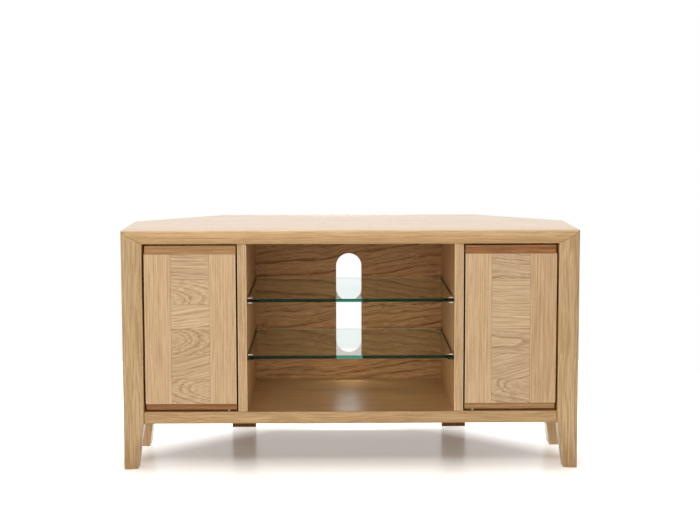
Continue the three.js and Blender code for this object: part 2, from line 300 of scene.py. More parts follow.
def mirrored(piece):
    """The left-hand copy of a right-hand piece."""
    copy = copied(piece)
    with editing(copy):
        bpy.ops.mesh.select_all(action="SELECT")
        bpy.ops.transform.resize(value=(-1, 1, 1), center_override=(0, 0, 0))
        bpy.ops.mesh.normals_make_consistent(inside=False)
    return copy


# Materials


def linear(hex_colour):
    """An sRGB hex colour as the linear colour that shaders take."""
    shares = [int(hex_colour[i : i + 2], 16) / 255 for i in (1, 3, 5)]
    return [s / 12.92 if s <= 0.04045 else ((s + 0.055) / 1.055) ** 2.4 for s in shares] + [1]


def add_node(tree, kind, inputs=None, **settings):
    """Adds a node, and sets each input to a value or links it to an output. A node given as an
    input stands for its first output."""
    new = tree.nodes.new("ShaderNode" + kind)
    for setting, value in settings.items():
        setattr(new, setting, value)
    for slot, value in (inputs or {}).items():
        if isinstance(value, bpy.types.Node):
            value = value.outputs[0]
        if isinstance(value, bpy.types.NodeSocket):
            tree.links.new(value, new.inputs[slot])
        else:
            new.inputs[slot].default_value = value
    return new


def start_nodes(owner):
    """Clears the nodes of a material or a world, and gives the function that adds new ones."""
    owner.use_nodes = True
    owner.node_tree.nodes.clear()
    return partial(add_node, owner.node_tree)


def new_material(name):
    material = bpy.data.materials.new(name)
    return material, start_nodes(material)


# A mix node's colour sockets
FACTOR = 0
COLOUR_A = 6
COLOUR_B = 7
MIXED = 2

# Oak: its rings, its fibres and its open pores
RING_EVENNESS = 0.3
RING_UNEVENNESS = 2.4
EARLY_WOOD = 0.55
FAINTEST_RING = 0.15
BANDS_PER_RING = 0.9
FIBRE_SHARE = 0.2
PORE_SHARE = 0.4
FIBRE_RELIEF = 0.3
PORE_DEPTH = 0.12 * MM
PORE_COLOUR = "#6B4526"
WOOD_ROUGHNESS = 0.42
PORE_ROUGHNESS = 0.6

# Repeats of each pattern in a metre, along the grain and across it. The rings swing over about
# 290 by 100 mm, dashes are 100 by 2.5 mm and fibres 40 by 1.8 mm. Pores are drawn 14 by 0.8 mm,
# three times their real width, so that they show. Bands last 500 mm along the grain, and across
# it they are counted in rings.
SWINGS = (3.5, 10, 10)
BANDS = (2, BANDS_PER_RING, 0)
DASHES = (10, 400, 400)
FIBRES = (25, 560, 560)
PORES = (70, 1200, 1200)

# Glass and metal
LONGEST_RUN = 4.5  # of light in glass, counted in reflections
GRIT = 1.5 * MM
ROUGHNESS_SPREAD = 0.12
MARK_DEPTH = 0.02 * MM
MARKS_IN_A_PATCH = 12

GRAIN_TURN = {"level": Euler((0, 0, 0)), "upright": Euler((0, math.radians(90), 0))}
grain_of = {}


def oak(
    name, grain, pale, deep, ring=9, figure=0.2, bands=0.25, lines=0.4, wander=20, curl=2,
    coat=0.4, coat_roughness=0.2, level=0.5,
):
    """European oak, plain sawn and sanded, under satin lacquer. Growth rings cut at a slant give
    the arched figure, its open pores give short dark dashes, and the lacquer a soft sheen.
    Each piece holds its own place and slope in the tree and its own tone, so no two match.
    Ring is a year's width and wander the swing of the rings, in mm, and curl how finely they
    swing. Figure, bands and lines are how much of the deep colour the rings, the bands along
    them and the dashes bring in. Level is the wood's own shine under the lacquer."""
    material, add = new_material(name)
    grain_of[name] = grain

    place = add("TexCoord").outputs["Object"]
    cut = add("Attribute", attribute_name="cut").outputs["Vector"]
    lean = add("Attribute", attribute_name="lean").outputs["Vector"]
    tone = add("Attribute", attribute_name="tone").outputs["Fac"]
    turned = add("Mapping", {"Vector": place, "Rotation": GRAIN_TURN[grain]})
    inside = add("VectorMath", {0: turned, 1: cut}, operation="ADD")
    along = add("SeparateXYZ", {0: inside})
    inside = add("VectorMath", {0: lean, 1: along, 2: inside}, operation="MULTIPLY_ADD")

    # The rings swing slowly, with smaller curls
    slow = add("VectorMath", {0: inside, 1: SWINGS}, operation="MULTIPLY")
    bend = add("TexNoise", {"Vector": slow, "Scale": 1, "Detail": curl, "Roughness": 0.55})
    swing = add("VectorMath", {0: bend.outputs["Color"], 1: (0.5, 0.5, 0.5)}, operation="SUBTRACT")
    swung = add(
        "VectorMath",
        {0: swing, 1: (0, wander * MM, wander * MM), 2: inside},
        operation="MULTIPLY_ADD",
    )

    # Rings of uneven width and strength, each dark where it begins and fading outwards
    across = add("VectorMath", {0: swung, 1: (0, 1, 1)}, operation="MULTIPLY")
    radius = add("VectorMath", {0: across}, operation="LENGTH").outputs["Value"]
    count = add("Math", {0: radius, 1: ring * MM}, operation="DIVIDE")
    uneven = add(
        "TexNoise", {"W": count, "Scale": RING_EVENNESS, "Detail": 1}, noise_dimensions="1D"
    ).outputs["Fac"]
    count = add("Math", {0: uneven, 1: RING_UNEVENNESS, 2: count}, operation="MULTIPLY_ADD")
    year = add("Math", {0: count}, operation="FLOOR")
    phase = add("Math", {0: count}, operation="FRACT")
    chance = add("TexWhiteNoise", {"W": year}, noise_dimensions="1D").outputs["Value"]
    early = add(
        "MapRange",
        {"Value": phase, "From Max": EARLY_WOOD, "To Min": 1, "To Max": 0},
        interpolation_type="SMOOTHSTEP",
    )
    strength = add("MapRange", {"Value": chance, "To Min": FAINTEST_RING, "To Max": 1.0})
    early = add("Math", {0: early, 1: strength}, operation="MULTIPLY")
    ring_place = add("CombineXYZ", {0: along, 1: count})

    # Bands follow the rings, and dashes follow their swing. Each pattern is noise stretched along
    # the grain and spread out to reach from 0 to 1.
    patterns = []
    for where, stretch, detail, low, high in (
        (ring_place, BANDS, 3, 0.3, 0.7),
        (swung, DASHES, 2, 0.38, 0.62),
        (inside, FIBRES, 2, 0.3, 0.7),
        (inside, PORES, 1, 0.58, 0.7),
    ):
        spread = add("VectorMath", {0: where, 1: stretch}, operation="MULTIPLY")
        field = add("TexNoise", {"Vector": spread, "Scale": 1, "Detail": detail})
        reach = {"Value": field.outputs["Fac"], "From Min": low, "From Max": high}
        patterns.append(add("MapRange", reach))
    band, dash, fibre, pores = patterns
    open_pores = add("MapRange", {"Value": early, "To Min": 0.35, "To Max": 1})
    pores = add("Math", {0: pores, 1: open_pores}, operation="MULTIPLY")

    shade = tone
    for value, share in ((early, figure), (band, bands), (dash, lines), (fibre, FIBRE_SHARE)):
        shade = add("Math", {0: value, 1: share, 2: shade}, operation="MULTIPLY_ADD")
    wood = add(
        "Mix", {FACTOR: shade, COLOUR_A: linear(pale), COLOUR_B: linear(deep)}, data_type="RGBA"
    ).outputs[MIXED]
    pored = add("Math", {0: pores, 1: PORE_SHARE}, operation="MULTIPLY")
    wood = add(
        "Mix", {FACTOR: pored, COLOUR_A: wood, COLOUR_B: linear(PORE_COLOUR)}, data_type="RGBA"
    ).outputs[MIXED]

    dull = add("MapRange", {"Value": pores, "To Min": WOOD_ROUGHNESS, "To Max": PORE_ROUGHNESS})
    height = add("Math", {0: fibre, 1: FIBRE_RELIEF, 2: pores}, operation="MULTIPLY_ADD")
    relief = add("Bump", {"Height": height, "Strength": 0.35, "Distance": PORE_DEPTH}, invert=True)
    shader = add(
        "BsdfPrincipled",
        {
            "Base Color": wood,
            "Roughness": dull,
            "Normal": relief,
            "IOR": 1.5,
            "Specular IOR Level": level,
            "Coat Weight": coat,
            "Coat Roughness": coat_roughness,
        },
    )
    add("OutputMaterial", {"Surface": shader})
    return material


def float_glass():
    """Float glass with a polished edge. Iron in it takes up red and blue over a long path, so the
    plate is nearly clear through its face and dark green through its edge. Lamps shine on
    through it, and light that has run far along the plate leaves it straight."""
    material, add = new_material("float_glass_polished")
    ray = add("LightPath")
    far = add("Math", {0: ray.outputs["Ray Depth"], 1: LONGEST_RUN}, operation="GREATER_THAN")
    open_to = add("Math", {0: ray.outputs["Is Shadow Ray"], 1: far}, operation="MAXIMUM")
    plate = add(
        "BsdfPrincipled",
        {
            "Base Color": linear("#F0F5F2"),
            "Roughness": 0.0,
            "IOR": 1.52,
            "Transmission Weight": 1.0,
            "Specular Tint": linear("#8C9490"),
        },
    )
    through = add("BsdfTransparent", {"Color": linear("#F4F8F5")})
    surface = add("MixShader", {0: open_to, 1: plate, 2: through})
    inside = add("VolumeAbsorption", {"Color": linear("#4DCCBC"), "Density": 10.0})
    add("OutputMaterial", {"Surface": surface, "Volume": inside})
    return material


def ground_glass(name, deep, pale):
    """A ground edge of a shelf: matt, with a fine grit that is drawn coarse enough to show. The
    sides are painted dark, as painted shade of the narrow slit beside each divider, and that dark
    edge laps a little over the top and the underside. The back edge is painted pale, as painted
    light from the bay."""
    material, add = new_material(name)
    place = add("TexCoord").outputs["Object"]
    grit = add("TexNoise", {"Vector": place, "Scale": 1 / GRIT, "Detail": 2})
    tint = add(
        "Mix",
        {FACTOR: grit.outputs["Fac"], COLOUR_A: linear(deep), COLOUR_B: linear(pale)},
        data_type="RGBA",
    ).outputs[MIXED]
    shader = add("BsdfPrincipled", {"Base Color": tint, "Roughness": 0.45, "IOR": 1.5})
    add("OutputMaterial", {"Surface": shader})
    return material


def metal(name, colour, worn, roughness, grain_mm=0.8, metallic=1.0):
    """A plated or coloured metal: fine brush or casting marks vary its shine, and its colour
    wears a little lighter in patches."""
    material, add = new_material(name)
    place = add("TexCoord").outputs["Object"]
    marks = add(
        "TexNoise", {"Vector": place, "Scale": 1 / (grain_mm * MM), "Detail": 3}
    ).outputs["Fac"]
    patch = MARKS_IN_A_PATCH * grain_mm * MM
    patches = add("TexNoise", {"Vector": place, "Scale": 1 / patch, "Detail": 2}).outputs["Fac"]
    wear = add("MapRange", {"Value": patches, "From Min": 0.4, "From Max": 0.7})
    tint = add(
        "Mix", {FACTOR: wear, COLOUR_A: linear(colour), COLOUR_B: linear(worn)}, data_type="RGBA"
    ).outputs[MIXED]
    reach = {"To Min": roughness, "To Max": roughness + ROUGHNESS_SPREAD}
    dull = add("MapRange", {"Value": marks, "From Min": 0.3, "From Max": 0.7, **reach})
    relief = add("Bump", {"Height": marks, "Strength": 0.2, "Distance": MARK_DEPTH})
    shader = add(
        "BsdfPrincipled",
        {"Base Color": tint, "Metallic": metallic, "Roughness": dull, "Normal": relief},
    )
    add("OutputMaterial", {"Surface": shader})
    return material


# Frame, legs and door faces, each cut of the wood with its own figure. The fall, the arris and the
# leg front are copies with painted shade, painted highlight and painted light.
RAIL_CUT = {"figure": 0.15, "bands": 0.15, "lines": 0.45, "wander": 18}
frame_upright = oak(
    "oak_frame_upright", "upright", "#D2B283", "#987341",
    figure=0.15, bands=0.2, lines=0.55, wander=14,
)
frame_level = oak("oak_frame_level", "level", "#DEB884", "#A37B46", **RAIL_CUT)
# Painted shade: a darker copy of the rail's oak for its falling faces, which turn down away from
# the light
fall_shade_oak = oak("oak_frame_fall_painted_shade", "level", "#D8AE76", "#9D753C", **RAIL_CUT)
# Painted highlight: a pale copy of the oak for the front arrises beside the door gaps
arris_highlight_oak = oak(
    "oak_painted_arris_highlight", "upright", "#F0D8B4", "#D6B888",
    figure=0.1, bands=0.1, lines=0.3, wander=8,
)
# Painted light: a paler copy for the side posts' fronts under the base, where little light reaches
leg_light_oak = oak("oak_leg_front_painted_light", "upright", "#EEC48A", "#B4864E", lines=0.45, wander=14)
stile_oak = oak(
    "oak_door_stile", "upright", "#DDBB8E", "#9E7446",
    ring=5.5, figure=0.4, bands=0.1, lines=0.33, wander=6,
)
block_oak = oak(
    "oak_door_block", "level", "#DDBD95", "#8F683B",
    ring=6.5, figure=0.5, bands=0.15, lines=0.32, wander=30, curl=3,
)

# Boards. The top and the base's upper side carry more lacquer, and the base's upper side is painted
# redder, for the warm light bounced in the bay.
top_oak = oak(
    "oak_veneer_top", "level", "#E0BC90", "#A6804D",
    ring=10, figure=0.25, wander=60, coat=0.6, coat_roughness=0.16,
)
board_level = oak(
    "oak_veneer_level", "level", "#D5AE7B", "#9A733F", ring=10, bands=0.2, lines=0.45, wander=26
)
board_upright = oak("oak_veneer_upright", "upright", "#D8B284", "#9A7443", lines=0.45)
floor_bounce_oak = oak(
    "oak_inside_floor_painted_bounce", "level", "#E4AE78", "#9B6B3A",
    ring=10, figure=0.3, bands=0.3, lines=0.5, wander=26, coat=1.0, coat_roughness=0.3,
)

# In the bay, the grips and the gaps, and under the feet, these copies of the oak are painted shade:
# deeper and redder in colour, for the shade and the warm bounced light there, and without the
# lacquer's sheen, which the shade would hide.
SHADE_NO_SHEEN = {"coat": 0.0, "coat_roughness": 0.3}
CORE_CUT = {"ring": 7, "wander": 16}
core_shade_oak = oak("oak_door_core_painted_shade", "level", "#CFA472", "#8E6A3D", level=0.25, **CORE_CUT, **SHADE_NO_SHEEN)
core_red_shade_oak = oak("oak_door_core_red_painted_shade", "level", "#C08857", "#744A26", level=0.25, **CORE_CUT, **SHADE_NO_SHEEN)
core_edge_shade_oak = oak("oak_core_edge_painted_shade", "level", "#8A5426", "#502C0C", level=0.0, **CORE_CUT, **SHADE_NO_SHEEN)
edge_shade_oak = oak("oak_door_edge_painted_shade", "upright", "#8E6238", "#543616", level=0.0, **SHADE_NO_SHEEN)
gap_shade_oak = oak("oak_gap_edge_painted_shade", "upright", "#50301A", "#341C0C", level=0.0, **SHADE_NO_SHEEN)
reveal_shade_oak = oak("oak_reveal_painted_shade", "upright", "#E8AC6C", "#9C6530", lines=0.35, level=0.0, **SHADE_NO_SHEEN)
# End grain is darker of itself; this finish is darker still, with painted contact shade under the
# feet and on the arris round them
end_grain_shade_oak = oak("oak_end_grain_painted_shade", "upright", "#6A4A2C", "#4A301A", level=0.1, **SHADE_NO_SHEEN)
wall_shade_oak = oak("oak_inside_wall_painted_shade", "upright", "#EEB880", "#A6723D", lines=0.35, level=0.2, **SHADE_NO_SHEEN)
inside_level_shade_oak = oak(
    "oak_inside_back_painted_shade", "level", "#D09A68", "#784C26",
    ring=15, figure=0.5, bands=0.2, wander=60, curl=3, level=0.2, **SHADE_NO_SHEEN,
)
inside_upright_shade_oak = oak(
    "oak_inside_leg_painted_shade", "upright", "#A06C38", "#6A4018",
    ring=10, figure=0.3, bands=0.3, wander=40, level=0.15, **SHADE_NO_SHEEN,
)

glass = float_glass()
# Painted shade and painted light: dark and pale copies of the ground edge, for the shaded sides and
# the lit back
glass_side_shade = ground_glass("float_glass_ground_side_painted_shade", "#080C06", "#121C14")
glass_back_light = ground_glass("float_glass_ground_back_painted_light", "#E6D6BC", "#F2E4CC")

nickel = metal("nickel_satin_plate", "#AE9C82", "#BFAE94", roughness=0.36)
# A copy of the nickel for the rear clips in the bay, its colour set as painted shade and warm
# bounced light
nickel_shaded = metal("nickel_satin_shaded", "#C8A57C", "#D6B48A", roughness=0.5)
bronze = metal("bronze_dark_lacquer", "#2E241C", "#4A3A2C", roughness=0.38)
# The catches' plate is pale and only part metallic, so it shows as a pale dot in the dark gap:
# partly a zinc plate's real scatter, partly a painted glint
bright = metal(
    "steel_bright_plate", "#E8E4DE", "#F2EEE8", roughness=0.3, grain_mm=1.2, metallic=0.3
)

SCREW_METALS = {"satin_nickel": nickel, "dark_bronze": bronze}

# Where in the tree each piece of oak was cut, how its grain runs off, and how much darker it is.
# The place is that of its middle, in mm: along the grain, in from the heart, and across. The
# grain runs off in the last two, per length.
STRAIGHT = (0, 0)
CUTS = {
    "top_panel": ((0, -120, 90), STRAIGHT, 0.0),
    "top_front_rail": ((0, 60, 160), STRAIGHT, 0.0),
    "left_front_post": ((900, 60, 60), STRAIGHT, 0.0),
    "right_front_post": ((0, 60, 70), STRAIGHT, 0.0),
    # Painted light: the side posts' negative tones make them paler, the right one more, for light
    # that barely reaches them under the base
    "left_side_post": ((2200, 40, -90), STRAIGHT, -0.3),
    "right_side_post": ((1500, -60, 90), STRAIGHT, -0.42),
    "left_rear_leg": ((300, 50, -90), STRAIGHT, 0.0),
    "right_rear_leg": ((0, 50, 90), STRAIGHT, 0.0),
    # Painted shade: the base's tone darkens it, for its low front edge that gets less light
    "base_panel": ((700, -60, 110), STRAIGHT, 0.15),
    "back_panel": ((200, 50, 120), (0, -0.12), 0.0),
    "left_side_panel": ((300, 60, -120), STRAIGHT, 0.0),
    "right_side_panel": ((0, 60, 120), STRAIGHT, 0.0),
    "left_angled_panel": ((900, 50, -130), STRAIGHT, 0.0),
    "right_angled_panel": ((600, 50, 130), STRAIGHT, 0.0),
    "left_divider": ((400, 150, -80), STRAIGHT, 0.0),
    "right_divider": ((0, 150, 60), STRAIGHT, -0.06),
    "left_door_core": ((0, 40, 260), STRAIGHT, 0.0),
    "right_door_core": ((700, 40, 250), STRAIGHT, 0.0),
    "left_door_outer_stile": ((0, 70, 150), STRAIGHT, 0.0),
    "left_door_inner_stile": ((500, 70, 170), (0, 0.01), 0.0),
    "right_door_inner_stile": ((900, 70, 190), STRAIGHT, -0.02),
    "right_door_outer_stile": ((1300, 70, 160), (0, 0.01), 0.1),
    "left_door_block_1": ((150, 32, -6), (-0.2, 0.05), 0.03),
    "left_door_block_2": ((420, 60, 150), (0, -0.28), 0.06),
    "left_door_block_3": ((-90, 36, 0), (0.3, 0), 0.05),
    "left_door_block_4": ((330, 60, 130), (0, -0.15), -0.1),
    "left_door_block_5": ((640, 34, 16), (0.2, 0.05), -0.01),
    "left_door_block_6": ((-260, 60, 150), (0, 0.03), 0.07),
    "right_door_block_1": ((-150, 30, -8), (-0.2, 0.08), 0.05),
    "right_door_block_2": ((-420, 60, 140), (0, -0.3), 0.02),
    "right_door_block_3": ((90, 50, 4), (0.03, 0), -0.02),
    "right_door_block_4": ((-330, 60, 170), (0, 0.02), -0.11),
    "right_door_block_5": ((-560, 60, 180), (0, -0.02), -0.06),
    "right_door_block_6": ((810, 55, 60), (-0.1, 0.15), 0.07),
}

# Finishing a piece

BODY_OF = {}
for body, members in frame["record"]["behaviour"]["bodies"].items():
    for member in members:
        BODY_OF[member] = body


def line_with(piece, plain, *others):
    """Gives the faces that pass a test another finish than the rest."""
    piece.data.materials.clear()
    piece.data.materials.append(plain)
    for number, (material, wanted) in enumerate(others, 1):
        piece.data.materials.append(material)
        for face in piece.data.polygons:
            if wanted(face):
                face.material_index = number


def place_in_tree(piece, turn, tree, lean, tone):
    """Gives a piece the attributes that say where in the tree it was cut."""
    corners = [Vector(corner) for corner in piece.bound_box]
    middle = sum(corners, Vector()) / len(corners)
    run_off = Vector((0, lean[0], lean[1])) * tree[0]
    cut = (Vector(tree) - run_off) * MM - turn @ middle
    count = len(piece.data.vertices)
    for label, kind, field, value in (
        ("cut", "FLOAT_VECTOR", "vector", list(cut)),
        ("lean", "FLOAT_VECTOR", "vector", [0, lean[0], lean[1]]),
        ("tone", "FLOAT", "value", [tone]),
    ):
        layer = piece.data.attributes.new(label, kind, "POINT")
        layer.data.foreach_set(field, value * count)


def dress(piece, name, node, material, stands=True):
    """Finishes a piece, sets the body it rides, and hides the part it stands for, if it stands for
    one.
    """
    smooth(piece)
    piece.name = name
    if not piece.data.materials or piece.data.materials[0] is None:
        piece.data.materials.clear()
        piece.data.materials.append(material)
    if material.name in grain_of:
        turn = GRAIN_TURN[grain_of[material.name]].to_matrix()
        place_in_tree(piece, turn, *CUTS[node])
    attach(piece, BODY_OF[node])
    if stands:
        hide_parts(node)


def dress_pair(right, part, material):
    """Finishes a right-hand piece of oak and its mirror image."""
    for side, piece in (("right", right), ("left", mirrored(right))):
        dress(piece, f"{side}_{part}_oak", f"{side}_{part}", material)


def near(a, b):
    return abs(a - b) < TINY


def facing(way):
    """A test for the faces that look one way, each with the nearest facet of its arris."""
    return lambda face: face.normal.dot(way) > BROAD_AND_FACET


def is_foot_end(face):
    """True on the end grain under a leg and on the arris round it."""
    return face.center.z < SANDED_ARRIS


def is_post_reveal(face):
    """True on the right-hand post's inner side, above the leg."""
    return face.normal.x < -BROAD and face.center.z > LEG_LENGTH


def is_falling(face):
    """True where the rail's face falls back, past the first step of its fall."""
    return face.normal.z < -STEEP_FALL and face.normal.y < -OFF_UNDERSIDE


def is_front_arris(face):
    """True on the rounding between a front and a side."""
    return abs(face.normal.x) > OFF_FRONT and face.normal.y < -OFF_SIDE


def is_in_gap(face):
    """True on the part of that rounding that turns into the gap beside a door."""
    return abs(face.normal.x) > TURNED_ASIDE and face.normal.y < -OFF_SIDE


# Frame


def frame_face(width):
    """Across a frame member's face: distances from its outer edge, and how far back each lies."""
    points = []
    for i in range(ARRIS_STEPS + 1):
        turn = i / ARRIS_STEPS * math.pi / 2
        points.append((FRAME_ARRIS * (1 - math.cos(turn)), FRAME_ARRIS * (1 - math.sin(turn))))
    for i in range(FALL_STEPS + 1):
        s = i / FALL_STEPS
        fall_share = FALL_STRAIGHT_SHARE * s + (1 - FALL_STRAIGHT_SHARE) * s * s
        points.append((FRAME_FLAT + s * (width - FRAME_FLAT), fall_share * FRAME_FALL))
    return points


POST_WIDTH = post_high.x - post_low.x
RAIL_HEIGHT = rail_high.z - rail_low.z
MITRE_SLOPE = (RAIL_HEIGHT - FRAME_FLAT) / (POST_WIDTH - FRAME_FLAT)


def mitre(distance, slope):
    """How far the mitre has run in one direction, so far from the corner in the other."""
    return min(distance, FRAME_FLAT) + max(distance - FRAME_FLAT, 0) * slope


def taper(piece, low, high):
    """Cuts a leg's inner side from the underside of the base to its narrower foot."""
    run = high.x - low.x - FOOT_WIDTH
    saw(piece, (low.x, 0, LEG_LENGTH), (-LEG_LENGTH, 0, -run))


def leaf_cutter(node, outward):
    """The pocket of a hinge leaf, let into the piece that lies outward of its seat."""
    low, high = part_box(node)
    seat = high.x - LEAF_THICKNESS if outward > 0 else low.x + LEAF_THICKNESS
    depth = high.y - LEAF_DEPTH
    slack = JOINT_GAP
    ends = sorted((seat - outward * OVERRUN, seat + outward * (LEAF_THICKNESS + slack)))
    return board(
        "pocket",
        (ends[0], depth - slack, low.z - slack),
        (ends[1], high.y + slack, high.z + slack),
    )


def paint_foot_shade(piece):
    """Paints shade on a leg, deeper steadily from the base's underside down to the floor."""
    for vert, tone in zip(piece.data.vertices, piece.data.attributes["tone"].data):
        tone.value += FOOT_PAINTED_SHADE * max(1 - vert.co.z / LEG_LENGTH, 0)


def make_front_posts():
    post = board("post", post_low, post_high)
    stations = frame_face(POST_WIDTH)
    for station in stations[1:-1]:
        saw(post, (post_high.x - station[0], 0, 0), (1, 0, 0), score=True)
    for distance, fall in stations:
        x = post_high.x - distance
        shift(post, lambda p: near(p.x, x) and near(p.y, FRONT), (0, fall, 0))
        drop = mitre(distance, MITRE_SLOPE)
        shift(post, lambda p: near(p.x, x) and near(p.z, post_high.z), (0, 0, -drop))
    taper(post, post_low, post_high)
    saw(post, (0, 0, LEG_LENGTH), (0, 0, 1), score=True)
    ease(post, SANDED_ARRIS)
    # Painted shade: the inner side beside the door and the foot take deeper copies of the oak
    line_with(post, frame_upright, (reveal_shade_oak, is_post_reveal), (end_grain_shade_oak, is_foot_end))
    for side, piece in (("right", post), ("left", mirrored(post))):
        leaves = [f"{side}_{level}_hinge_frame_leaf" for level in LEVELS]
        carve(piece, *(leaf_cutter(leaf, SIDES[side]) for leaf in leaves))
        dress(piece, f"{side}_front_post_oak", f"{side}_front_post", frame_upright)
        paint_foot_shade(piece)


def make_top_rail():
    rail = board("rail", rail_low, rail_high)
    stations = frame_face(RAIL_HEIGHT)
    for station in stations[1:-1]:
        saw(rail, (0, 0, rail_high.z - station[0]), (0, 0, 1), score=True)
    for distance, fall in stations:
        z = rail_high.z - distance
        run = mitre(distance, 1 / MITRE_SLOPE)
        for sign in SIDES.values():
            end = sign * rail_high.x
            shift(rail, lambda p: near(p.z, z) and near(p.x, end), (-sign * run, 0, 0))
        shift(rail, lambda p: near(p.z, z) and near(p.y, FRONT), (0, fall, 0))
    ease(rail, SANDED_ARRIS)
    # Painted shade on the rail's falling faces
    line_with(rail, frame_level, (fall_shade_oak, is_falling))
    dress(rail, "top_front_rail_oak", "top_front_rail", frame_level)


def make_side_posts():
    low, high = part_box("right_side_post")
    post = board("post", low, high)
    saw(post, CUT_CORNER, CUT_NORMAL)
    saw(post, (low.x + SIDE_POST_RETURN, high.y, 0), (-1, 1, 0))
    taper(post, low, high)
    ease(post, SANDED_ARRIS)
    # Painted light on the fronts; darker end grain with painted contact shade under the feet
    line_with(post, frame_upright, (leg_light_oak, facing(FORWARD)), (end_grain_shade_oak, is_foot_end))
    dress_pair(post, "side_post", frame_upright)


# Boards


def make_top():
    top = board("top", top_low, top_high)
    for sign in SIDES.values():
        corner = Vector((sign * CUT_CORNER.x, CUT_CORNER.y, 0))
        saw(top, corner, (sign, 1, 0))
    ease(top, SANDED_ARRIS)
    dress(top, "top_panel_oak", "top_panel", top_oak)


def make_base():
    base = board("base", base_low, base_high)
    beside_post = post_low.x - JOINT_GAP
    panel_low, panel_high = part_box("right_side_panel")
    inside = PANEL_INSET + PANEL_THICKNESS + JOINT_GAP
    for sign in SIDES.values():
        point = CUT_CORNER - inside * CUT_NORMAL
        saw(base, (sign * point.x, point.y, 0), (sign, 1, 0))
        for near_end, far_end in (
            (base_low.y - OVERRUN, panel_low.y),
            (panel_high.y, base_high.y + OVERRUN),
        ):
            xs = sorted((sign * beside_post, sign * (base_high.x + OVERRUN)))
            corner = board(
                "corner",
                (xs[0], near_end, base_low.z - OVERRUN),
                (xs[1], far_end, base_high.z + OVERRUN),
            )
            carve(base, corner)
    round_over(
        base,
        lambda a, b: near(a.y, base_low.y) and near(b.y, base_low.y) and near(a.z, b.z),
        BASE_ROUNDING,
        BASE_ROUNDING_STEPS,
    )
    ease(base, BLOCK_ARRIS)
    # The upper side takes the redder copy, painted bounce light of the bay
    line_with(base, board_level, (floor_bounce_oak, facing(UP)))
    dress(base, "base_panel_oak", "base_panel", board_level)


def make_back():
    back = board("back", back_low, back_high)
    for sign in SIDES.values():
        point = CUT_CORNER - PANEL_INSET * CUT_NORMAL
        saw(back, (sign * point.x, point.y, 0), (sign, 1, 0))
    slot = next(o for o in frame["record"]["physics"]["openings"] if o["name"] == "cable_slot")
    half_width = slot["box_m"][1][0] + SLOT_MARGIN
    middle = (slot["box_m"][0][2] + slot["box_m"][1][2]) / 2
    half_height = SLOT_HEIGHT / 2
    cutter = board(
        "slot",
        (-half_width, back_low.y - OVERRUN, middle - half_height),
        (half_width, back_high.y + OVERRUN, middle + half_height),
    )
    round_over(
        cutter,
        lambda a, b: near(a.x, b.x) and near(a.z, b.z),
        half_width - TINY,
        SLOT_END_STEPS,
    )
    carve(back, cutter)
    ease(back, BLOCK_ARRIS)
    # Painted shade: the front in the bay takes a deeper, redder copy of the oak
    line_with(back, board_level, (inside_level_shade_oak, facing(FORWARD)))
    dress(back, "back_panel_oak", "back_panel", board_level)


def make_plain_pairs():
    """Side panels, rear legs and the angled panels between them."""
    side = board("side", *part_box("right_side_panel"))
    angled = board("angled", *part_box("right_angled_panel"))
    end_low, end_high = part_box("right_side_post")
    saw(angled, CUT_CORNER - PANEL_INSET * CUT_NORMAL, CUT_NORMAL)
    saw(angled, CUT_CORNER - (PANEL_INSET + PANEL_THICKNESS) * CUT_NORMAL, -CUT_NORMAL)
    square_end = Vector((end_low.x + SIDE_POST_RETURN, end_high.y, 0))
    saw(angled, square_end + JOINT_GAP * Vector((-1, 1, 0)).normalized(), (1, -1, 0))
    leg = board("leg", *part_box("right_rear_leg"))
    for piece in (side, angled, leg):
        ease(piece, SANDED_ARRIS)
    # Painted shade on the rear legs' fronts under the base
    line_with(leg, board_upright, (inside_upright_shade_oak, facing(FORWARD)))
    dress_pair(side, "side_panel", board_upright)
    dress_pair(angled, "angled_panel", board_upright)
    dress_pair(leg, "rear_leg", board_upright)


def make_dividers():
    low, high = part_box("right_divider")
    divider = board("divider", low, high)
    notch = board(
        "notch",
        (low.x - OVERRUN, low.y - OVERRUN, rail_low.z - JOINT_GAP),
        (high.x + OVERRUN, rail_high.y + JOINT_GAP, high.z + OVERRUN),
    )
    carve(divider, notch)
    ease(divider, DOOR_ARRIS, DOOR_ARRIS_STEPS)
    # Painted shade on the divider's sides and on the facet into the gap, painted highlight on its
    # front arris
    line_with(
        divider,
        board_upright,
        (wall_shade_oak, lambda face: abs(face.normal.x) > BROAD),
        (arris_highlight_oak, is_front_arris),
        (gap_shade_oak, lambda face: is_in_gap(face) and face.normal.x > 0),
    )
    dress_pair(divider, "divider", board_upright)


# Glass shelves and their clips


def make_shelves():
    low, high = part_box("lower_glass_shelf")
    shelf = board("shelf", low, high)
    round_over(
        shelf,
        lambda a, b: near(a.y, low.y) and near(b.y, low.y) and near(a.x, b.x),
        GLASS_CORNER,
        GLASS_CORNER_STEPS,
    )
    ease(shelf, POLISHED_ARRIS, steps=1)
    clear_half = high.x - GROUND_EDGE
    for sign in SIDES.values():
        saw(shelf, (sign * clear_half, 0, 0), (1, 0, 0), score=True)
    # Painted shade on the sides, painted light on the back edge
    line_with(
        shelf,
        glass,
        (glass_back_light, facing(BACKWARD)),
        (glass_side_shade, lambda face: abs(face.center.x) > clear_half),
    )
    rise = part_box("upper_glass_shelf")[0].z - low.z
    upper = copied(shelf, (0, 0, rise))
    dress(shelf, "lower_glass_shelf_plate", "lower_glass_shelf", glass)
    dress(upper, "upper_glass_shelf_plate", "upper_glass_shelf", glass)


